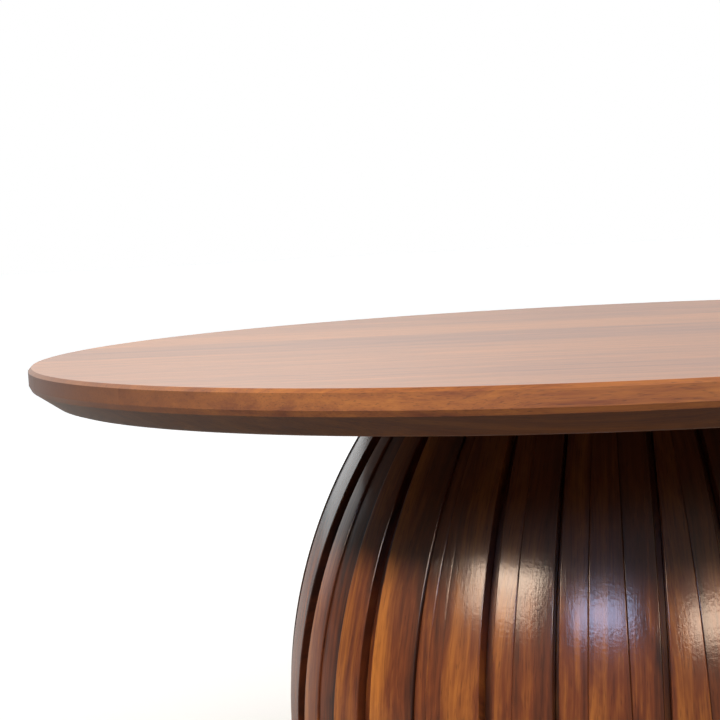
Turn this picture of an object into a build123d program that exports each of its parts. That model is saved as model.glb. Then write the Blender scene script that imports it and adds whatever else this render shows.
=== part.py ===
"""A round pedestal coffee table: a planked top on a bulging drum of upright slats.

The drum is coopered: bowed slats of mixed width stand edge to edge round a head
and a foot disc. Strips set back between some of them make shadow grooves.
The origin is on the floor under the table's centre, +Z is up and -Y is the front.
Sizes are in millimetres and angles in degrees. A bearing is an angle about the
drum's axis, anticlockwise from the front as seen from above.
"""

from build123d import *
from math import atan2, cos, degrees, radians, sin, sqrt
import os

# Table top
top_diameter = 750
top_thickness = 25
band_height = 12.5  # the square edge above the undercut bevel
bevel_inset = 18  # how far the bevel draws in at the underside
arris = 2  # planed off each edge round the rim
board_widths = (101, 113, 96, 118, 107, 99, 116)  # glued edge to edge, front to back

# Drum
drum_height = 432
belly_diameter = 445
bow_radius = 330  # of a slat's bowed face, seen from the side
slat_thickness = 30  # at the belly
slat_end_thickness = 18
back_flat = 160  # height of the upright saw cut behind the belly
strip_cuts = 6  # a groove strip follows the bow in this many straight cuts
thirds = 3  # the cutting list runs round the drum this many times
first_bearing = -76.7  # of the cutting list's first joint

# Cutting list for one third of the drum, anticlockwise from above: kind, width at
# the belly, set-back of the face, and how much bearing the joint that the piece
# starts at gains by its leaning, from the belly to the top.
# The widths are stretched or shrunk together to close the circle.
cutting_list = (
    ("slat", 34, 0, 0),
    ("groove_strip", 13, 6, 3.4),
    ("slat", 25, 0.5, 3.4),
    ("narrow_slat", 23, 1.5, 1.2),
    ("slat", 26, 0, 1.2),
    ("groove_strip", 12, 6, 0),
    ("slat", 34, 0, -0.9),
    ("narrow_slat", 9, 1.5, 0.5),
    ("narrow_slat", 11, 1, 0.9),
    ("slat", 26, 0, -0.3),
    ("groove_strip", 7.5, 8, -0.9),
    ("narrow_slat", 11.5, 0.5, -0.8),
    ("slat", 24, 0, 0.9),
    ("groove_strip", 3.5, 8, 0.3),
    ("narrow_slat", 16, 1, 0),
    ("slat", 25, 0, 1.2),
    ("narrow_slat", 16.5, 1, -0.9),
    ("groove_strip", 4, 8, 1.4),
    ("slat", 23, 0, 1.7),
    ("narrow_slat", 15.5, 1, -1.4),
    ("groove_strip", 6, 8, 0),
    ("slat", 33, 0, 0),
    ("groove_strip", 12, 6, 1.1),
    ("slat", 30, 0, 0.6),
    ("slat", 26, 1, -1.2),
)

# Discs that close the drum's ends
disc_thickness = 22
glue_gap = 0.1  # between a disc and the slats' seats

# Pan-head wood screws up through the head disc into the top
screw_count = 3
screw_inset = 34  # from the disc's rim
screw_length = 38  # under the head
screw_diameter = 5
screw_point = 6  # length of the tapered end
screw_tip_diameter = 1
screw_head_diameter = 10
screw_head_height = 3
screw_head_rounding = 1.4
recess_span = 5  # of the cross recess
recess_width = 1.1
recess_depth = 1.8
screw_clearance = 0.5  # round a screw in the head disc
pilot_clearance = 0.1  # round and past a screw in the top

# Square felt pads under the foot disc
pad_count = 4
pad_inset = 17  # of a pad's middle from the disc's rim
pad_side = 22
pad_thickness = 3

# Levels and radii that follow from the sizes above
drum_bottom = pad_thickness
belly_height = drum_bottom + drum_height / 2
drum_top = drum_bottom + drum_height
head_bottom = drum_top - disc_thickness
table_height = drum_top + top_thickness
half_height = drum_height / 2
bow_centre = belly_diameter / 2 - bow_radius  # from the drum's axis, along the radius
turn = 360 / thirds


def face_radius(height, set_back=0):
    """Distance from the drum's axis to a slat's face, this far above or below the belly."""
    return bow_centre + sqrt((bow_radius - set_back) ** 2 - height**2)


back_radius = belly_diameter / 2 - slat_thickness
end_radius = face_radius(half_height)
seat_radius = end_radius - slat_end_thickness
seat_bottom = half_height - disc_thickness  # a seat is as high as its disc is thick

# Where the joints are in the first third, and the middle of every piece round the drum
widths = [width for kind, width, set_back, gain in cutting_list]
gains = [gain for kind, width, set_back, gain in cutting_list]
bearings = [first_bearing]
for width in widths:
    bearings.append(bearings[-1] + turn * width / sum(widths))
middles = [(start + end) / 2 for start, end in zip(bearings, bearings[1:])]
all_middles = [middle + third * turn for third in range(thirds) for middle in middles]


def radial_plane(bearing, gain=0):
    """The upright plane through the drum's axis at a bearing, leaned about its own radius.

    On the drum's face it gains this much bearing by the top, and loses it by the bottom.
    Its x axis points outwards. Its back, where z is negative, faces the higher bearings.
    """
    lean = degrees(atan2(end_radius * sin(radians(gain)), half_height))
    outwards = Vector(0, -1, 0).rotate(Axis.Z, bearing)
    normal = outwards.cross(Vector(0, 0, 1)).rotate(Axis((0, 0, 0), outwards), -lean)
    return Plane((0, 0, belly_height), x_dir=outwards, z_dir=normal)


def coopered_piece(kind, middle, start, end, set_back):
    """One slat or strip between two joint planes, with seats for both discs on its back."""
    face_end = face_radius(half_height, set_back)
    with BuildPart() as piece:
        with BuildSketch(radial_plane(middle)):
            with BuildLine():
                if kind == "groove_strip":
                    cut = drum_height / strip_cuts
                    heights = [step * cut - half_height for step in range(strip_cuts + 1)]
                    Polyline(*[(face_radius(height, set_back), height) for height in heights])
                else:
                    belly = (face_radius(0, set_back), 0)
                    ThreePointArc((face_end, -half_height), belly, (face_end, half_height))
                Polyline(
                    (face_end, half_height),
                    (seat_radius, half_height),
                    (seat_radius, seat_bottom),
                    (back_radius, back_flat / 2),
                    (back_radius, -back_flat / 2),
                    (seat_radius, -seat_bottom),
                    (seat_radius, -half_height),
                    (face_end, -half_height),
                )
            make_face()
        extrude(amount=max(widths), both=True)
        split(bisect_by=start, keep=Keep.BOTTOM)
        split(bisect_by=end, keep=Keep.TOP)
    return piece.part


def end_disc(bottom):
    """A disc with a facet for each piece of the drum to sit on."""
    facet_radius = seat_radius - glue_gap
    corners = []
    for this, following in zip(all_middles, all_middles[1:] + [all_middles[0] + 360]):
        corner_radius = facet_radius / cos(radians((following - this) / 2))
        corners.append(Vector(0, -corner_radius).rotate(Axis.Z, (this + following) / 2))
    with BuildPart() as disc:
        with BuildSketch(Plane.XY.offset(bottom)):
            Polygon(*corners, align=None)
        extrude(amount=disc_thickness)
    return disc.part


def screw_places(level):
    """The screws' places at a level, each facing down."""
    facing_down = Plane((0, 0, level), x_dir=(0, -1, 0), z_dir=(0, 0, -1))
    circle = PolarLocations(seat_radius - screw_inset, screw_count)
    return [facing_down.location * place for place in circle]


def save(part, label):
    part.label = label
    export_step(part, f"parts/{label}.step")


os.makedirs("parts", exist_ok=True)

# The drum. Each slat is a node, and the three copies of each narrow slat or
# groove strip share one.
made = {"slat": 0, "narrow_slat": 0, "groove_strip": 0}
for position, (kind, width, set_back, gain) in enumerate(cutting_list):
    start = radial_plane(bearings[position], gain)
    end = radial_plane(bearings[position + 1], gains[(position + 1) % len(gains)])
    first = coopered_piece(kind, middles[position], start, end, set_back)
    if kind == "slat":
        for third in range(thirds):
            made[kind] += 1
            with BuildPart() as slat:
                with Locations(Rotation(0, 0, third * turn)):
                    add(first)
            save(slat.part, f"slat_{made[kind]:02d}")
    else:
        made[kind] += 1
        with BuildPart() as matching_set:
            with PolarLocations(0, thirds):
                add(first)
        save(matching_set.part, f"{kind}s_{made[kind]}")

# The discs
with BuildPart() as head_disc:
    add(end_disc(head_bottom))
    with Locations(*screw_places(head_bottom)):
        Hole((screw_diameter + screw_clearance) / 2)
save(head_disc.part, "head_disc")
with BuildPart() as foot_disc:
    add(end_disc(drum_bottom))
save(foot_disc.part, "foot_disc")

# The screws. A screw's own z axis points down, out of its head.
outward = (Align.CENTER, Align.CENTER, Align.MIN)
inward = (Align.CENTER, Align.CENTER, Align.MAX)
with BuildPart() as top_screws:
    with Locations(*screw_places(head_bottom)):
        Cylinder(screw_head_diameter / 2, screw_head_height, align=outward)
    fillet(edges().group_by(Axis.Z)[0], screw_head_rounding)
    with Locations(*screw_places(head_bottom)):
        Cylinder(screw_diameter / 2, screw_length - screw_point, align=inward)
        with Locations((0, 0, screw_point - screw_length)):
            Cone(screw_tip_diameter / 2, screw_diameter / 2, screw_point, align=inward)
        with Locations((0, 0, screw_head_height)):
            Box(recess_span, recess_width, recess_depth, align=inward, mode=Mode.SUBTRACT)
            Box(recess_width, recess_span, recess_depth, align=inward, mode=Mode.SUBTRACT)
save(top_screws.part, "top_screws")

# The pads
with BuildPart() as felt_pads:
    with BuildSketch():
        with PolarLocations(seat_radius - pad_inset, pad_count, start_angle=45):
            Rectangle(pad_side, pad_side)
    extrude(amount=pad_thickness)
save(felt_pads.part, "felt_pads")

# The top's boards, each cut from the whole round top
pilot_depth = screw_length - disc_thickness + pilot_clearance
board_front = -top_diameter / 2
for number, width in enumerate(board_widths, start=1):
    board_back = board_front + width * top_diameter / sum(board_widths)
    with BuildPart() as board:
        with BuildSketch(Plane.XZ):
            with BuildLine():
                Polyline(
                    (0, table_height),
                    (0, drum_top),
                    (top_diameter / 2 - bevel_inset, drum_top),
                    (top_diameter / 2, table_height - band_height),
                    (top_diameter / 2, table_height),
                    close=True,
                )
            make_face()
            rim_corners = vertices().filter_by_position(Axis.X, top_diameter / 4, top_diameter)
            chamfer(rim_corners, arris)
        revolve(axis=Axis.Z)
        with Locations(*screw_places(drum_top)):
            Hole((screw_diameter + pilot_clearance) / 2, depth=pilot_depth)
        split(bisect_by=Plane.XZ.offset(-board_front), keep=Keep.BOTTOM)
        split(bisect_by=Plane.XZ.offset(-board_back), keep=Keep.TOP)
    save(board.part, f"top_board_{number}")
    board_front = board_back
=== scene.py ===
"""A round pedestal coffee table: a planked top on a coopered drum of upright slats.

The wood is stained chestnut and lies under gloss lacquer. Every new piece is cut
from the CAD solid that it stands for, so its size and place come from the frame.
The frame is in metres, +Z up, with the origin on the floor under the table's centre
and -Y towards the front. A bearing is an angle about the drum's axis, anticlockwise
from the front as seen from above, in degrees.
"""

import math
import random

import bmesh
import bpy
from mathutils import Matrix, Vector


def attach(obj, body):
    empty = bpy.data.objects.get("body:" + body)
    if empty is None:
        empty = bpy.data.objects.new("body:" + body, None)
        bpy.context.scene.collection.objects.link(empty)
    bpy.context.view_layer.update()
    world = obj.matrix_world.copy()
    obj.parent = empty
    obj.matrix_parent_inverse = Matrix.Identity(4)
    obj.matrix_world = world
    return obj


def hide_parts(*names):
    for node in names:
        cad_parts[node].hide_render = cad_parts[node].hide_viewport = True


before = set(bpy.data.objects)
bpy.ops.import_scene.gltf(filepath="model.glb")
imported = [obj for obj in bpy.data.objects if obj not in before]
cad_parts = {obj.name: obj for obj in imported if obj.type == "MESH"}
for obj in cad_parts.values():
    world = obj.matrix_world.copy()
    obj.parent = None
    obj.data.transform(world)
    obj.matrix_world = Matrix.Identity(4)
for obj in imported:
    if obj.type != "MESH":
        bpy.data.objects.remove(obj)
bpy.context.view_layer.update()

bl_info = {
    "name": "Slatted Drum Table",
    "version": (1, 0, 0),
    "blender": (4, 5, 0),
    "location": "View3D > Sidebar > Drum Table",
    "description": "Finishes a planked round top and a coopered drum in stained, lacquered wood",
    "category": "Add Mesh",
}

MM = 0.001
UP = Vector((0, 0, 1))
BODY = "root"

# Cutting a slat
BLANK_WIDTH = 120 * MM  # of the wide blank that it is cut out of
CROWN_CUTS = 3  # lengthwise cuts in its face, so that the face can curve
ARRIS_STEPS = 3  # flat steps in a rounded edge

# Seeds of the random draws for the drum's pieces and for the top's boards
DRUM_SEED = 4
TOP_SEED = 11

# How light each visible slat of the drum is, from its left edge to its right edge, on
# a scale from heartwood (0) to sapwood (1). The others draw theirs at random. The shown
# groove strips are much lighter than the hidden ones (GROOVE_TONES): painted light that
# lifts the shade in their grooves.
TONES = {
    "slat_01": (0.45, 0.40),
    "groove_strips_1": (0.25, 0.25),
    "slat_04": (0.66, 0.52),
    "narrow_slats_1": (0.22, 0.18),
    "slat_07": (0.80, 0.45),
    "groove_strips_2": (0.45, 0.45),
    "slat_10": (0.82, 0.20),
    "narrow_slats_2": (0.45, 0.40),
    "narrow_slats_3": (0.50, 0.50),
    "slat_13": (0.50, 0.58),
    "groove_strips_3": (0.55, 0.55),
    "narrow_slats_4": (0.50, 0.50),
    "slat_16": (0.45, 0.40),
    "groove_strips_4": (0.55, 0.55),
    "narrow_slats_5": (0.55, 0.50),
    "slat_19": (0.50, 0.50),
    "narrow_slats_6": (0.40, 0.40),
    "groove_strips_5": (0.55, 0.55),
    "slat_22": (0.42, 0.50),
    "narrow_slats_7": (0.40, 0.40),
    "groove_strips_6": (0.55, 0.55),
}
SLAT_TONES = (0.2, 0.75)  # that the other slats are drawn from
GROOVE_TONES = (0.05, 0.15)
TONE_CHANGE = 0.15  # at most, from one edge of a piece to the other
EDGE_SHADE = 0.12  # how much darker the edges of a slat or strip are: painted shade at the joints between pieces
BOARD_TONES = (0.56, 0.72)

# How many features each pattern has to the metre: in the stained wood across, into and
# along the grain, in the beech along x, y and z, and in the others every way.
WANDERING = (14, 14, 4)  # 70 mm wide and 250 mm long
STREAKS = (120, 120, 6)  # 8 mm wide and 170 mm long
THIN_STREAKS = (420, 420, 9)  # 2.4 mm wide and 110 mm long
FIBRES = (1250, 1250, 22)  # 0.8 mm wide, where real ones are a tenth of that, so that they show
MOTTLING = (80, 80, 24)  # 12 mm wide and 40 mm long, where fibres dip in and out of the surface
PORES = (1500, 1500, 90)  # 0.7 mm wide and 11 mm long
RIPPLES = 480  # 2 mm apart
BEECH_FIBRES = (12, 420, 420)  # 2.4 mm wide and 80 mm long
ZINC_CLOUDS = 400  # 2.5 mm across
FELT_NAP = 1800  # 0.6 mm across


def linear(colour):
    """An sRGB hex colour as linear red, green and blue."""
    channels = [int(colour[place : place + 2], 16) / 255 for place in (0, 2, 4)]
    return tuple(c / 12.92 if c <= 0.04045 else ((c + 0.055) / 1.055) ** 2.4 for c in channels)


# ---------------------------------------------------------------- settings


class DrumTableShape(bpy.types.PropertyGroup):
    """How the drum's pieces are cut and eased."""

    slat_arris: bpy.props.FloatProperty(
        name="Slat arris",
        description="How far a slat's long edges are rounded over",
        default=0.7 * MM,
        min=0.2 * MM,
        max=3 * MM,
        subtype="DISTANCE",
        unit="LENGTH",
    )
    strip_arris: bpy.props.FloatProperty(
        name="Groove strip arris",
        description="How far a groove strip's long edges are rounded over",
        default=0.5 * MM,
        min=0.1 * MM,
        max=1 * MM,
        subtype="DISTANCE",
        unit="LENGTH",
    )
    slat_crown: bpy.props.FloatProperty(
        name="Slat crown",
        description="How far sanding drops a slat's face at its edges, as a share of its width",
        default=0.012,
        min=0,
        max=0.05,
    )
    bow_steps: bpy.props.IntProperty(
        name="Bow steps",
        description="Straight steps in a slat's bow",
        default=56,
        min=8,
        max=128,
    )


class DrumTableFinish(bpy.types.PropertyGroup):
    """The colours of the stained wood."""

    heartwood: bpy.props.FloatVectorProperty(
        name="Heartwood",
        description="The darkest stained wood",
        default=linear("2e150c"),
        size=3,
        min=0,
        max=1,
        subtype="COLOR",
    )
    middle_wood: bpy.props.FloatVectorProperty(
        name="Middle wood",
        description="The stained wood between heartwood and sapwood",
        default=linear("70391a"),
        size=3,
        min=0,
        max=1,
        subtype="COLOR",
    )
    sapwood: bpy.props.FloatVectorProperty(
        name="Sapwood",
        description="The lightest stained wood",
        default=linear("b8742f"),
        size=3,
        min=0,
        max=1,
        subtype="COLOR",
    )


class DrumTableStage(bpy.types.PropertyGroup):
    """The studio round the table."""

    floor_colour: bpy.props.FloatVectorProperty(
        name="Floor",
        description="The floor's colour",
        default=linear("d0d1d2"),
        size=3,
        min=0,
        max=1,
        subtype="COLOR",
    )
    lamp_power: bpy.props.FloatProperty(
        name="Lamp power",
        description="All the lamps' power against their own settings",
        default=1,
        min=0,
        max=4,
    )


# ---------------------------------------------------------------- materials


def add_node(tree, kind, inputs=None, **settings):
    """Adds one node with its settings. An input is a value, or a socket to link it to."""
    node = tree.nodes.new("ShaderNode" + kind)
    for name, value in settings.items():
        setattr(node, name, value)
    for name, value in (inputs or {}).items():
        if isinstance(value, bpy.types.NodeSocket):
            tree.links.new(value, node.inputs[name])
        else:
            node.inputs[name].default_value = value
    return node


def new_material(name):
    """An empty material with its output node, and that node."""
    material = bpy.data.materials.new(name)
    material.use_nodes = True
    material.node_tree.nodes.clear()
    return material, add_node(material.node_tree, "OutputMaterial")


def wandering(tree, grain):
    """A place in the log, moved so that the grain wanders by some millimetres in a hand's length."""
    stretched = add_node(tree, "VectorMath", {0: grain, 1: WANDERING}, operation="MULTIPLY")
    inputs = {"Vector": stretched.outputs[0], "Scale": 1, "Detail": 2}
    wander = add_node(tree, "TexNoise", inputs).outputs["Color"]
    centred = add_node(tree, "VectorMath", {0: wander, 1: (0.5, 0.5, 0.5)}, operation="SUBTRACT")
    inputs = {0: centred.outputs[0], 1: (30 * MM, 30 * MM, 0)}
    sway = add_node(tree, "VectorMath", inputs, operation="MULTIPLY").outputs[0]
    return add_node(tree, "VectorMath", {0: grain, 1: sway}, operation="ADD").outputs[0]


def growth_rings(tree, wood, ring_width):
    """Rings round the pith, of uneven width and depth."""
    flat = add_node(tree, "VectorMath", {0: wood, 1: (1, 1, 0)}, operation="MULTIPLY")
    from_pith = add_node(tree, "VectorMath", {0: flat.outputs[0]}, operation="LENGTH")
    inputs = {0: from_pith.outputs["Value"], 1: 1 / ring_width}
    ring_count = add_node(tree, "Math", inputs, operation="MULTIPLY").outputs[0]
    inputs = {"W": ring_count, "Scale": 1, "Detail": 3, "Roughness": 0.6}
    return add_node(tree, "TexNoise", inputs, noise_dimensions="1D").outputs["Fac"]


def stained_wood(
    name,
    ring_width,
    along,
    roughness=0.55,
    coat=1.0,
    coat_roughness=0.17,
    haze=0.0,
    streaks=1.0,
    mottling=0.5,
):
    """Acacia, planed and sanded, stained chestnut and sprayed with lacquer.

    The eye sees growth rings where the cut crosses them, fine fibres and short pores
    along the grain, lighter and darker streaks, and a clear gloss over it all.
    """
    finish = bpy.context.scene.drum_table_finish
    material, output = new_material(name)
    tree = material.node_tree
    grain = add_node(tree, "Attribute", attribute_name="grain").outputs["Vector"]
    tone = add_node(tree, "Attribute", attribute_name="tone").outputs["Fac"]
    wood = wandering(tree, grain)

    # The patterns that are drawn out along the grain
    patterns = {"rings": growth_rings(tree, wood, ring_width)}
    for pattern, place, features, settings in (
        ("streaks", wood, STREAKS, {"Detail": 4, "Roughness": 0.6}),
        ("thin streaks", wood, THIN_STREAKS, {"Detail": 2}),
        ("fibres", wood, FIBRES, {"Detail": 2}),
        ("mottling", grain, MOTTLING, {"Detail": 3, "Distortion": 1.2}),
        ("pores", wood, PORES, {"Detail": 1}),
    ):
        stretched = add_node(tree, "VectorMath", {0: place, 1: features}, operation="MULTIPLY")
        inputs = {"Vector": stretched.outputs[0], "Scale": 1, **settings}
        patterns[pattern] = add_node(tree, "TexNoise", inputs).outputs["Fac"]

    # End grain drinks more stain, and shows little of the streaks
    facing = add_node(tree, "NewGeometry").outputs["Normal"]
    end_on = add_node(tree, "VectorMath", {0: facing, 1: along}, operation="DOT_PRODUCT")
    end_share = add_node(tree, "Math", {0: end_on.outputs["Value"]}, operation="ABSOLUTE")
    inputs = {"Value": end_share.outputs[0], "From Min": 0.3, "From Max": 0.85}
    end_grain = add_node(tree, "MapRange", inputs).outputs[0]
    calm = add_node(tree, "Math", {0: end_grain, 1: -0.7, 2: 1}, operation="MULTIPLY_ADD").outputs[0]

    # Lightness: the piece's tone, moved by each of the patterns but the pores
    light = 0.0
    for pattern, share in (
        ("rings", 0.45 * streaks),
        ("streaks", 1.05 * streaks),
        ("thin streaks", 0.35 * streaks),
        ("fibres", 0.25),
        ("mottling", mottling),
    ):
        offset = add_node(tree, "Math", {0: patterns[pattern], 1: 0.5}, operation="SUBTRACT")
        inputs = {0: offset.outputs[0], 1: share, 2: light}
        light = add_node(tree, "Math", inputs, operation="MULTIPLY_ADD").outputs[0]
    light = add_node(tree, "Math", {0: light, 1: calm, 2: tone}, operation="MULTIPLY_ADD").outputs[0]
    ramp = add_node(tree, "ValToRGB", {"Fac": light})
    stops = ramp.color_ramp.elements
    stops[0].position = 0.05
    stops[0].color = (*finish.heartwood, 1)
    stops[1].position = 0.95
    stops[1].color = (*finish.sapwood, 1)
    stops.new(0.45).color = (*finish.middle_wood, 1)

    # Pores, short dark dashes along the grain
    inputs = {"From Min": 0.60, "From Max": 0.72, "To Min": 0, "To Max": 0.45}
    pores = add_node(tree, "MapRange", {"Value": patterns["pores"], **inputs}).outputs[0]
    drawn_pores = add_node(tree, "Math", {0: pores, 1: calm}, operation="MULTIPLY").outputs[0]
    inputs = {0: end_grain, 1: 0.72, 2: drawn_pores}
    dark = add_node(tree, "Math", inputs, operation="MULTIPLY_ADD", use_clamp=True).outputs[0]
    inputs = {0: dark, 6: ramp.outputs["Color"], 7: (*finish.heartwood, 1)}
    colour = add_node(tree, "Mix", inputs, data_type="RGBA").outputs[2]

    # The lacquer sinks a little over fibres and pores and lies in shallow ripples
    inputs = {0: pores, 1: -0.8, 2: patterns["fibres"]}
    relief = add_node(tree, "Math", inputs, operation="MULTIPLY_ADD").outputs[0]
    inputs = {"Height": relief, "Strength": 0.25, "Distance": 0.1 * MM}
    sunk = add_node(tree, "Bump", inputs).outputs[0]
    inputs = {"Vector": grain, "Scale": RIPPLES, "Detail": 2}
    ripple = add_node(tree, "TexNoise", inputs).outputs["Fac"]
    inputs = {"Height": ripple, "Strength": 0.3, "Distance": 0.2 * MM, "Normal": sunk}
    rippled = add_node(tree, "Bump", inputs).outputs[0]
    shader = add_node(
        tree,
        "BsdfPrincipled",
        {
            "Base Color": colour,
            "Roughness": roughness,
            "IOR": 1.5,
            "Specular IOR Level": 0.2,
            "Normal": sunk,
            "Coat Weight": coat,
            "Coat Roughness": coat_roughness,
            "Coat IOR": 1.5,
            "Coat Normal": rippled,
            "Sheen Weight": haze,
        },
    )
    tree.links.new(shader.outputs[0], output.inputs[0])
    return material


def plain_beech(name):
    """Beech board, planed and unfinished: pale, even and quite dull."""
    material, output = new_material(name)
    tree = material.node_tree
    place = add_node(tree, "TexCoord").outputs["Object"]
    along = add_node(tree, "VectorMath", {0: place, 1: BEECH_FIBRES}, operation="MULTIPLY")
    inputs = {"Vector": along.outputs[0], "Scale": 1, "Detail": 3}
    fibres = add_node(tree, "TexNoise", inputs).outputs["Fac"]
    ramp = add_node(tree, "ValToRGB", {"Fac": fibres})
    ramp.color_ramp.elements[0].position = 0.3
    ramp.color_ramp.elements[0].color = (*linear("a98258"), 1)
    ramp.color_ramp.elements[1].position = 0.7
    ramp.color_ramp.elements[1].color = (*linear("c49c6e"), 1)
    inputs = {"Height": fibres, "Strength": 0.3, "Distance": 0.15 * MM}
    bump = add_node(tree, "Bump", inputs).outputs[0]
    inputs = {"Base Color": ramp.outputs["Color"], "Roughness": 0.6, "IOR": 1.5, "Normal": bump}
    shader = add_node(tree, "BsdfPrincipled", inputs)
    tree.links.new(shader.outputs[0], output.inputs[0])
    return material


def zinc_plated_steel(name):
    """Bright zinc plate on steel: a grey metal shine, slightly cloudy."""
    material, output = new_material(name)
    tree = material.node_tree
    place = add_node(tree, "TexCoord").outputs["Object"]
    inputs = {"Vector": place, "Scale": ZINC_CLOUDS, "Detail": 3}
    cloud = add_node(tree, "TexNoise", inputs).outputs["Fac"]
    ramp = add_node(tree, "ValToRGB", {"Fac": cloud})
    ramp.color_ramp.elements[0].color = (*linear("a9abad"), 1)
    ramp.color_ramp.elements[1].color = (*linear("d2d4d4"), 1)
    rough = add_node(tree, "MapRange", {"Value": cloud, "To Min": 0.22, "To Max": 0.4}).outputs[0]
    inputs = {"Base Color": ramp.outputs["Color"], "Metallic": 1, "Roughness": rough}
    shader = add_node(tree, "BsdfPrincipled", inputs)
    tree.links.new(shader.outputs[0], output.inputs[0])
    return material


def wool_felt(name):
    """Pressed wool felt: dull, with a matted nap of short fibres."""
    material, output = new_material(name)
    tree = material.node_tree
    place = add_node(tree, "TexCoord").outputs["Object"]
    inputs = {"Vector": place, "Scale": FELT_NAP, "Detail": 4, "Distortion": 1.5}
    nap = add_node(tree, "TexNoise", inputs).outputs["Fac"]
    ramp = add_node(tree, "ValToRGB", {"Fac": nap})
    ramp.color_ramp.elements[0].position = 0.3
    ramp.color_ramp.elements[0].color = (*linear("2b2520"), 1)
    ramp.color_ramp.elements[1].position = 0.7
    ramp.color_ramp.elements[1].color = (*linear("54493f"), 1)
    bump = add_node(tree, "Bump", {"Height": nap, "Strength": 0.8, "Distance": 0.4 * MM}).outputs[0]
    inputs = {"Base Color": ramp.outputs["Color"], "Roughness": 0.95, "Sheen Weight": 0.4, "Normal": bump}
    shader = add_node(tree, "BsdfPrincipled", inputs)
    tree.links.new(shader.outputs[0], output.inputs[0])
    return material


# ---------------------------------------------------------------- pieces


def nodes_called(*beginnings):
    """The names of the CAD nodes that start with one of these, in order."""
    return sorted(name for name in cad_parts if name.startswith(beginnings))


def new_mesh():
    """An empty bmesh whose vertices can hold their place in the log and their tone."""
    mesh = bmesh.new()
    mesh.verts.layers.float_vector.new("grain")
    mesh.verts.layers.float.new("tone")
    return mesh


def merged_copy(name):
    """The CAD node's triangles as one closed bmesh."""
    mesh = new_mesh()
    mesh.from_mesh(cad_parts[name].data)
    bmesh.ops.remove_doubles(mesh, verts=mesh.verts, dist=0.005 * MM)
    bmesh.ops.recalc_face_normals(mesh, faces=mesh.faces)
    return mesh


def solids_of(mesh):
    """The faces of each separate solid in a bmesh, in order of their first face."""
    left = set(mesh.faces)
    for first in list(mesh.faces):
        if first not in left:
            continue
        solid = {first}
        unvisited = [first]
        while unvisited:
            face = unvisited.pop()
            for near in (other for edge in face.edges for other in edge.link_faces):
                if near not in solid:
                    solid.add(near)
                    unvisited.append(near)
        left -= solid
        yield sorted(solid, key=lambda face: face.index)


def add_to(mesh, solid):
    """Moves a solid's bmesh into another, which may hold more."""
    data = bpy.data.meshes.new("solid")
    solid.to_mesh(data)
    solid.free()
    mesh.from_mesh(data)
    bpy.data.meshes.remove(data)


def vertices_in(geometry):
    """The vertices among what a bmesh operator returns."""
    return [item for item in geometry if isinstance(item, bmesh.types.BMVert)]


def finished_piece(name, mesh, material, replaced, rounded=35, flat=()):
    """Makes a bmesh the finished piece that stands for a CAD node.

    Edges that turn less than the rounded angle, in degrees, are shaded as round,
    except those of the flat faces.
    """
    for edge in mesh.edges:
        is_round = edge.calc_face_angle() < math.radians(rounded)
        edge.smooth = is_round and not any(face in flat for face in edge.link_faces)
    for face in mesh.faces:
        face.smooth = True
    data = bpy.data.meshes.new(name)
    mesh.to_mesh(data)
    mesh.free()
    piece = bpy.data.objects.new(name, data)
    bpy.context.scene.collection.objects.link(piece)
    piece.data.materials.append(material)
    normals = piece.modifiers.new("Even shading", "WEIGHTED_NORMAL")
    normals.keep_sharp = True
    normals.weight = 100 if flat else 50  # 50 is neutral, and more favours large faces
    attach(piece, BODY)
    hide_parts(replaced)
    return piece


def mark_timber(mesh, in_blank, tones, draw, edge_shade=0.0):
    """Gives a piece's vertices their place in the log that its blank was sawn from, and their tone.

    A place in the blank is how far it lies across, into and along the grain. The tone
    goes from the first at the piece's left edge to the second at its right edge, and
    is darker at both by the edge shade, which is painted shade at the joints.
    """
    grain = mesh.verts.layers.float_vector["grain"]
    tone = mesh.verts.layers.float["tone"]
    places = {vertex: in_blank(vertex.co) for vertex in mesh.verts}
    left = min(place.x for place in places.values())
    right = max(place.x for place in places.values())

    # Sawn at any angle, some way out from the pith and anywhere along the trunk
    turn = Matrix.Rotation(draw.uniform(0, math.tau), 3, "Z")
    pith = Vector((draw.uniform(45, 110) * MM, 0, draw.uniform(-3, 3)))
    for vertex, place in places.items():
        share = (place.x - left) / (right - left)
        # Painted shade: the tone darkens over the outer quarters of the piece, towards its joints
        edge = max(0, 2 * abs(share - 0.5) - 0.5) / 0.5  # 0 over the middle half, 1 at both edges
        vertex[tone] = tones[0] + (tones[1] - tones[0]) * share - edge_shade * edge
        place.x -= (left + right) / 2
        vertex[grain] = turn @ place + pith


# ---------------------------------------------------------------- drum


def weighted(faces, value):
    """The sum of a vector value over faces, each by its area."""
    return sum((value(face) * face.calc_area() for face in faces), Vector())


def looks_along(face, direction):
    """True if a face looks along a direction rather than past it."""
    return face.normal.dot(direction) > 0.5


def is_along(edge, direction):
    """True if an edge runs along a direction, either way."""
    return abs((edge.verts[1].co - edge.verts[0].co).normalized().dot(direction)) > 0.9


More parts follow.
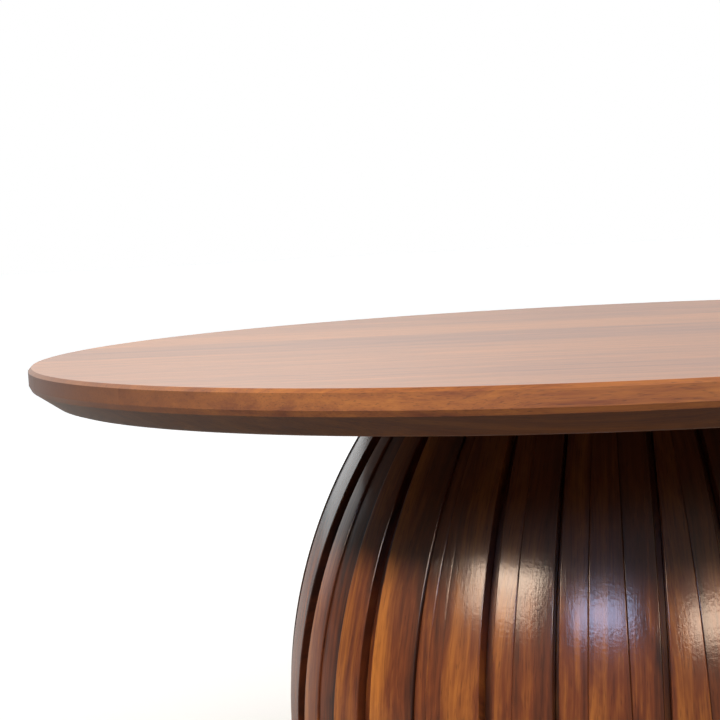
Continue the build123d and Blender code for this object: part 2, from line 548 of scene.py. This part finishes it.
class SlatPlan:
    """What a drum piece's CAD solid says about it: its directions, bow, back and joints."""

    def __init__(self, faces):
        corners = {vertex for face in faces for vertex in face.verts}
        self.low = min(vertex.co.z for vertex in corners)
        self.high = max(vertex.co.z for vertex in corners)
        self.middle = (self.low + self.high) / 2
        self.half = (self.high - self.low) / 2

        # A first guess at its bearing, then the true one from the way its face looks
        self.face_towards(weighted(faces, lambda face: face.calc_center_median()))
        self.face_towards(weighted(self.fronts(faces), lambda face: face.normal))

        self.belly = max(vertex.co.dot(self.outwards) for vertex in corners)
        top = [vertex for vertex in corners if vertex.co.z > self.high - 0.1 * MM]
        self.end = max(vertex.co.dot(self.outwards) for vertex in top)
        sag = self.belly - self.end
        self.bow_radius = (self.half**2 + sag**2) / (2 * sag)

        # The back's outline as heights and depths, from the top down, without the
        # corners that belong to the bowed face
        outline = set()
        for face in faces:
            if not self.is_joint(face) and not looks_along(face, self.outwards):
                outline |= {self.outline_point(vertex.co) for vertex in face.verts}
        self.back = sorted((point for point in outline if not self.is_on_bow(*point)), reverse=True)

        # The two joint planes, each as a point and a normal that points out of the piece
        self.joints = []
        for side in (-self.across, self.across):
            beside = [face for face in faces if looks_along(face, side)]
            area = sum(face.calc_area() for face in beside)
            point = weighted(beside, lambda face: face.calc_center_median()) / area
            self.joints.append((point, weighted(beside, lambda face: face.normal).normalized()))

    def face_towards(self, direction):
        """Sets the level directions out of the drum and across the piece, to the right."""
        self.outwards = (direction * Vector((1, 1, 0))).normalized()
        self.across = UP.cross(self.outwards)

    def is_joint(self, face):
        """True for a face that is glued to the next piece."""
        return looks_along(face, self.across) or looks_along(face, -self.across)

    def fronts(self, faces):
        """Those of these faces that belong to the bowed face."""
        return [f for f in faces if not self.is_joint(f) and looks_along(f, self.outwards)]

    def outline_point(self, point):
        """A point's height and its depth along the outward direction, to 0.01 mm."""
        return round(point.z, 5), round(point.dot(self.outwards), 5)

    def is_on_bow(self, height, depth):
        """True for an outline point at one of the two ends of the bowed face."""
        is_at_end = not self.low + MM < height < self.high - MM
        return is_at_end and depth >= self.end - MM

    def is_shown(self):
        """True from the drum's left edge to a little right of its front, where TONES has a say."""
        return self.outwards.x < 0.35 and self.outwards.y < -0.1

    def in_blank(self, point):
        """How far a point lies across, into and along the grain, which follows the bow."""
        out = point.dot(self.outwards) - self.belly + self.bow_radius
        up = point.z - self.middle
        along = self.bow_radius * math.atan2(up, out)
        return Vector((point.dot(self.across), math.hypot(out, up), along))


def bowed_blank(plan, steps):
    """A wide blank with a slat's bow and back: its outline, extruded from side to side."""
    mesh = new_mesh()
    start = mesh.verts.new(plan.outwards * plan.end + UP * plan.low)
    spun = bmesh.ops.spin(
        mesh,
        geom=[start],
        cent=plan.outwards * (plan.belly - plan.bow_radius) + UP * plan.middle,
        axis=-plan.across,
        angle=2 * math.asin(plan.half / plan.bow_radius),
        steps=steps,
        use_duplicate=False,
    )
    last = vertices_in(spun["geom_last"])[0]
    for height, depth in plan.back:
        following = mesh.verts.new(plan.outwards * depth + UP * height)
        mesh.edges.new((last, following))
        last = following
    mesh.edges.new((last, start))
    filled = bmesh.ops.contextual_create(mesh, geom=mesh.edges)["faces"]
    bmesh.ops.translate(mesh, verts=mesh.verts, vec=-plan.across * BLANK_WIDTH / 2)
    grown = bmesh.ops.extrude_face_region(mesh, geom=filled, use_keep_orig=True)["geom"]
    bmesh.ops.translate(mesh, verts=vertices_in(grown), vec=plan.across * BLANK_WIDTH)
    return mesh


def coopered_solid(plan, steps, arris, crown):
    """Cuts one slat or strip: a bowed blank, split at its joints, crowned and eased."""
    mesh = bowed_blank(plan, steps)
    for point, normal in plan.joints:
        cut = bmesh.ops.bisect_plane(
            mesh,
            geom=mesh.verts[:] + mesh.edges[:] + mesh.faces[:],
            plane_co=point,
            plane_no=normal,
            clear_outer=True,
        )
        edges = [item for item in cut["geom_cut"] if isinstance(item, bmesh.types.BMEdge)]
        bmesh.ops.contextual_create(mesh, geom=edges)
    bmesh.ops.recalc_face_normals(mesh, faces=mesh.faces)

    if crown:
        sides = {edge for face in plan.fronts(mesh.faces) for edge in face.edges}
        rungs = [edge for edge in sides if is_along(edge, plan.across)]
        bmesh.ops.subdivide_edges(mesh, edges=rungs, cuts=CROWN_CUTS)
        for vertex in {vertex for face in plan.fronts(mesh.faces) for vertex in face.verts}:
            left, right = [(point - vertex.co).dot(normal) for point, normal in plan.joints]
            vertex.co -= plan.outwards * crown * (left - right) ** 2 / (left + right)

    fronts = set(plan.fronts(mesh.faces))
    arrises = [edge for edge in mesh.edges if sum(face in fronts for face in edge.link_faces) == 1]
    bmesh.ops.bevel(
        mesh,
        geom=arrises,
        offset=arris,
        offset_type="OFFSET",
        segments=ARRIS_STEPS,
        profile=0.5,
        affect="EDGES",
        material=-1,
    )
    return mesh


class DRUMTABLE_OT_drum(bpy.types.Operator):
    """Cuts, eases and lacquers the slats and groove strips"""

    bl_idname = "drum_table.drum"
    bl_label = "Slats and groove strips"

    def execute(self, context):
        shape = context.scene.drum_table_shape
        slat_wood = stained_wood(
            "Lacquered chestnut-stained acacia slats", ring_width=6 * MM, along=UP
        )
        groove_wood = stained_wood(
            "Dark-stained acacia groove strips",
            ring_width=6 * MM,
            along=UP,
            roughness=0.6,
            coat=0.5,
            coat_roughness=0.3,
        )
        draw = random.Random(DRUM_SEED)
        for name in nodes_called("slat", "narrow_slats", "groove_strips"):
            if name.startswith("groove_strips"):
                mesh = self.coopered(name, draw, GROOVE_TONES, shape.bow_steps, shape.strip_arris)
                finished_piece("stained_" + name, mesh, groove_wood, name)
            else:
                mesh = self.coopered(
                    name, draw, SLAT_TONES, shape.bow_steps, shape.slat_arris, shape.slat_crown
                )
                finished_piece("lacquered_" + name, mesh, slat_wood, name)
        return {"FINISHED"}

    def coopered(self, name, draw, tone_range, steps, arris, crown=0):
        """A node's solids, each cut anew and marked with a place in the log and a tone."""
        source = merged_copy(name)
        mesh = new_mesh()
        for faces in solids_of(source):
            plan = SlatPlan(faces)
            solid = coopered_solid(plan, steps, arris, crown)
            base = draw.uniform(*tone_range)
            tones = (base, base + draw.uniform(-TONE_CHANGE, TONE_CHANGE))
            if plan.is_shown():
                tones = TONES.get(name, tones)
            # Each solid's tone darkens towards its edges, as painted shade at the joints
            mark_timber(solid, plan.in_blank, tones, draw, EDGE_SHADE)
            add_to(mesh, solid)
        source.free()
        return mesh


# ---------------------------------------------------------------- top and hidden parts


class DRUMTABLE_OT_top(bpy.types.Operator):
    """Lacquers the top's boards"""

    bl_idname = "drum_table.top"
    bl_label = "Top boards"

    SMALLEST_JOINT = 1000 * MM**2  # a glued face is larger than this, and a facet of the rim smaller

    def execute(self, context):
        top_wood = stained_wood(
            "Lacquered chestnut-stained acacia top",
            ring_width=9 * MM,
            along=Vector((1, 0, 0)),
            coat_roughness=0.45,
            haze=0.1,
            streaks=0.65,
            mottling=0.15,
        )
        draw = random.Random(TOP_SEED)
        for name in nodes_called("top_board"):
            mesh = merged_copy(name)
            level = math.radians(0.1)
            bmesh.ops.dissolve_limit(mesh, angle_limit=level, verts=mesh.verts, edges=mesh.edges)
            tone = draw.uniform(*BOARD_TONES)
            mark_timber(mesh, lambda point: point.yzx, (tone, tone), draw)
            glued = {face for face in mesh.faces if self.is_glued(face)}
            finished_piece(
                "lacquered_" + name, mesh, top_wood, name, rounded=25, flat=glued
            )
        return {"FINISHED"}

    def is_glued(self, face):
        """True for a board's joint with the next board."""
        return abs(face.normal.y) > 0.99 and face.calc_area() > self.SMALLEST_JOINT


class DRUMTABLE_OT_hidden_parts(bpy.types.Operator):
    """Finishes the discs, the screws and the felt pads"""

    bl_idname = "drum_table.hidden_parts"
    bl_label = "Discs, screws and pads"

    def execute(self, context):
        finishes = {
            "head_disc": plain_beech("Planed beech head disc"),
            "foot_disc": plain_beech("Planed beech foot disc"),
            "top_screws": zinc_plated_steel("Zinc-plated steel screws"),
            "felt_pads": wool_felt("Pressed wool felt pads"),
        }
        for name, material in finishes.items():
            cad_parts[name].material_slots[0].material = material
        return {"FINISHED"}


# ---------------------------------------------------------------- stage


WHITE = (1, 1, 1, 1)
FLOOR_RADIUS = 40
LAMP_AIM = Vector((0, 0, 0.3))

# The drum's glints come from lower down than the light on its wood, which leaves a
# deep shadow under the top. So a lamp is for the "glints", for the "wood" or for "both".
LAMPS = (
    # name, bearing, elevation, distance, width, height, watts, colour, what it is for
    ("High softbox", -42, 27.5, 3.0, 1.2, 0.34, 28, "ffe4ca", "glints"),
    ("Left softbox", -43, 21, 3.0, 1.2, 0.3, 15, "ffe2c6", "glints"),
    ("Window", -8, 21, 3.0, 0.95, 0.36, 16, "b8d1ff", "glints"),
    ("Right softbox", 31, 18, 3.0, 1.1, 0.4, 25, "ffe2c6", "glints"),
    ("Left key", -42, 31.5, 3.0, 1.2, 0.3, 43, "ffe3c9", "wood"),
    ("Window key", -8, 31.5, 3.0, 0.95, 0.3, 17, "b8d1ff", "wood"),
    ("Right key", 31, 31, 3.0, 1.1, 0.3, 30, "ffe2c6", "wood"),
    ("Left strip", -84, 29, 3.0, 1.6, 0.25, 42, "ffedd9", "both"),
    ("Back left softbox", -150, 40, 3.0, 2.0, 1.0, 22, "fff6ec", "both"),
    ("Back right softbox", 130, 36, 3.0, 2.0, 1.0, 26, "fff6ec", "both"),
)

# A broad, soft light from high up, a little to the right of the front
OVERHEAD_POWER = 1.75
OVERHEAD_COLOUR = "f0fbff"
OVERHEAD_SPREAD = 32
OVERHEAD_TILT = 40  # from straight above
OVERHEAD_BEARING = 18

# The camera looks a little to the left of the drum's axis and a little down, and is
# slightly rolled. Its angles are in degrees, its lens and sensor in millimetres.
CAMERA_PLACE = (0, -1.186, 0.5324)
CAMERA_TURN = 8
CAMERA_DIP = 4.036
CAMERA_ROLL = -3.015
LENS = 90.45
SENSOR_WIDTH = 36


class DRUMTABLE_OT_stage(bpy.types.Operator):
    """Sets the floor, the lamps, the surroundings and the camera"""

    bl_idname = "drum_table.stage"
    bl_label = "Stage"

    def execute(self, context):
        scene = context.scene
        stage = scene.drum_table_stage
        scene.view_settings.view_transform = "Standard"
        self.lay_floor(scene, stage)
        self.hang_lamps(scene, stage)
        self.surround(scene)
        self.place_camera(scene)
        return {"FINISHED"}

    def lay_floor(self, scene, stage):
        mesh = bmesh.new()
        bmesh.ops.create_circle(mesh, cap_ends=True, segments=64, radius=FLOOR_RADIUS)
        data = bpy.data.meshes.new("floor")
        mesh.to_mesh(data)
        mesh.free()
        data.materials.append(self.painted_floor(stage))
        floor = bpy.data.objects.new("floor", data)
        scene.collection.objects.link(floor)

    def painted_floor(self, stage):
        """Pale paint that runs out to white.

        To the camera it glows more the further it lies from the table. Lacquer mirrors
        a share of that, least of it near the table and in front. The wood is lit by a
        dim floor, so that its shadows stay deep.
        """
        material, output = new_material("Painted floor")
        tree = material.node_tree
        path = add_node(tree, "LightPath").outputs
        place = add_node(tree, "NewGeometry").outputs["Position"]
        from_table = add_node(tree, "VectorMath", {0: place}, operation="LENGTH").outputs["Value"]
        paint = add_node(tree, "BsdfDiffuse", {"Color": (*stage.floor_colour, 1)})
        inputs = {"Value": from_table, "From Min": 0.5, "From Max": 3, "To Min": 0.15, "To Max": 0.75}
        glow = add_node(tree, "MapRange", inputs).outputs[0]
        lift = add_node(tree, "Emission", {"Color": WHITE, "Strength": glow})
        lit = add_node(tree, "AddShader", {0: paint.outputs[0], 1: lift.outputs[0]})
        dim = add_node(tree, "BsdfDiffuse", {"Color": (0.12, 0.12, 0.12, 1)})

        inputs = {"Value": from_table, "From Min": 0.4, "From Max": 1.2, "To Max": 0.27}
        far = add_node(tree, "MapRange", inputs).outputs[0]
        towards = add_node(tree, "VectorMath", {0: place}, operation="NORMALIZE").outputs[0]
        northing = add_node(tree, "SeparateXYZ", {0: towards}).outputs["Y"]
        inputs = {"Value": northing, "From Min": 0.4, "From Max": 0.6, "To Min": 0.2}
        behind = add_node(tree, "MapRange", inputs).outputs[0]
        share = add_node(tree, "Math", {0: far, 1: behind}, operation="MULTIPLY").outputs[0]
        inputs = {0: path["Is Glossy Ray"], 1: share}
        mirrored = add_node(tree, "Math", inputs, operation="MULTIPLY").outputs[0]
        inputs = {0: path["Is Camera Ray"], 1: mirrored}
        seen = add_node(tree, "Math", inputs, operation="MAXIMUM").outputs[0]
        both = add_node(tree, "MixShader", {0: seen, 1: dim.outputs[0], 2: lit.outputs[0]})
        tree.links.new(both.outputs[0], output.inputs[0])
        return material

    def hang_lamps(self, scene, stage):
        for name, bearing, elevation, distance, width, height, watts, colour, purpose in LAMPS:
            lamp = bpy.data.lights.new(name, "AREA")
            lamp.shape = "RECTANGLE"
            lamp.size = width
            lamp.size_y = height
            lamp.energy = watts * stage.lamp_power
            lamp.color = linear(colour)
            turn = Matrix.Rotation(math.radians(bearing), 3, "Z")
            lift = Matrix.Rotation(math.radians(-elevation), 3, "X")
            away = turn @ lift @ Vector((0, -distance, 0))
            holder = bpy.data.objects.new(name, lamp)
            holder.location = LAMP_AIM + away
            holder.rotation_mode = "QUATERNION"
            holder.rotation_quaternion = (-away).to_track_quat("-Z", "Y")
            holder.visible_diffuse = purpose != "glints"
            holder.visible_glossy = purpose != "wood"
            scene.collection.objects.link(holder)

        sky = bpy.data.lights.new("Overhead", "SUN")
        sky.energy = OVERHEAD_POWER * stage.lamp_power
        sky.color = linear(OVERHEAD_COLOUR)
        sky.angle = math.radians(OVERHEAD_SPREAD)
        holder = bpy.data.objects.new("Overhead", sky)
        holder.rotation_euler = (math.radians(OVERHEAD_TILT), 0, math.radians(OVERHEAD_BEARING))
        scene.collection.objects.link(holder)

    def surround(self, scene):
        """Sets a world that is white to the camera and a dim room to the wood.

        In it lacquer mirrors a backdrop behind the table, brightest in its middle, that
        fades out upwards and to both sides.
        """
        world = bpy.data.worlds.new("Studio")
        scene.world = world
        world.use_nodes = True
        tree = world.node_tree
        tree.nodes.clear()
        path = add_node(tree, "LightPath").outputs
        direction = add_node(tree, "TexCoord").outputs["Generated"]
        parts = add_node(tree, "SeparateXYZ", {0: direction}).outputs
        inputs = {"Value": parts["Y"], "From Min": 0.53, "From Max": 0.64}
        behind = add_node(tree, "MapRange", inputs).outputs[0]
        inputs = {"Value": parts["Y"], "From Min": 0.75, "From Max": 0.9, "To Min": 0.7, "To Max": 1}
        middle = add_node(tree, "MapRange", inputs).outputs[0]
        inputs = {"Value": parts["Z"], "From Min": 0.34, "From Max": 0.52, "To Min": middle, "To Max": 0}
        low = add_node(tree, "MapRange", inputs).outputs[0]
        inputs = {0: behind, 1: low, 2: 0.06}
        backdrop = add_node(tree, "Math", inputs, operation="MULTIPLY_ADD").outputs[0]
        room, mirrored, white = [
            add_node(tree, "Background", {"Color": WHITE, "Strength": strength}).outputs[0]
            for strength in (0.03, backdrop, 1)
        ]
        inner = add_node(tree, "MixShader", {0: path["Is Glossy Ray"], 1: room, 2: mirrored})
        outer = add_node(
            tree, "MixShader", {0: path["Is Camera Ray"], 1: inner.outputs[0], 2: white}
        )
        add_node(tree, "OutputWorld", {"Surface": outer.outputs[0]})

    def place_camera(self, scene):
        data = bpy.data.cameras.new("Camera")
        data.lens = LENS
        data.sensor_width = SENSOR_WIDTH
        data.clip_start = 0.05
        data.clip_end = 200
        camera = bpy.data.objects.new("Camera", data)
        turn = Matrix.Rotation(math.radians(CAMERA_TURN), 4, "Z")
        tilt = Matrix.Rotation(math.radians(90 - CAMERA_DIP), 4, "X")
        roll = Matrix.Rotation(math.radians(CAMERA_ROLL), 4, "Z")
        camera.matrix_world = Matrix.Translation(CAMERA_PLACE) @ turn @ tilt @ roll
        scene.collection.objects.link(camera)
        scene.camera = camera


# ---------------------------------------------------------------- add-on


class DRUMTABLE_PT_panel(bpy.types.Panel):
    """Lists the table's settings and pieces"""

    bl_idname = "DRUMTABLE_PT_panel"
    bl_label = "Slatted Drum Table"
    bl_space_type = "VIEW_3D"
    bl_region_type = "UI"
    bl_category = "Drum Table"

    def draw(self, context):
        for settings in SETTINGS:
            group = getattr(context.scene, settings)
            box = self.layout.box()
            for name in group.bl_rna.properties.keys():
                if name not in ("rna_type", "name"):
                    box.prop(group, name)
        for operator in OPERATORS:
            self.layout.operator(operator.bl_idname)


SETTINGS = {
    "drum_table_shape": DrumTableShape,
    "drum_table_finish": DrumTableFinish,
    "drum_table_stage": DrumTableStage,
}
OPERATORS = (DRUMTABLE_OT_drum, DRUMTABLE_OT_top, DRUMTABLE_OT_hidden_parts, DRUMTABLE_OT_stage)


def register():
    for kind in (*SETTINGS.values(), *OPERATORS, DRUMTABLE_PT_panel):
        bpy.utils.register_class(kind)
    for name, kind in SETTINGS.items():
        setattr(bpy.types.Scene, name, bpy.props.PointerProperty(type=kind))


def unregister():
    for name in SETTINGS:
        delattr(bpy.types.Scene, name)
    for kind in reversed((*SETTINGS.values(), *OPERATORS, DRUMTABLE_PT_panel)):
        bpy.utils.unregister_class(kind)


def main():
    register()
    bpy.ops.drum_table.drum()
    bpy.ops.drum_table.top()
    bpy.ops.drum_table.hidden_parts()
    bpy.ops.drum_table.stage()


if __name__ == "__main__":
    main()
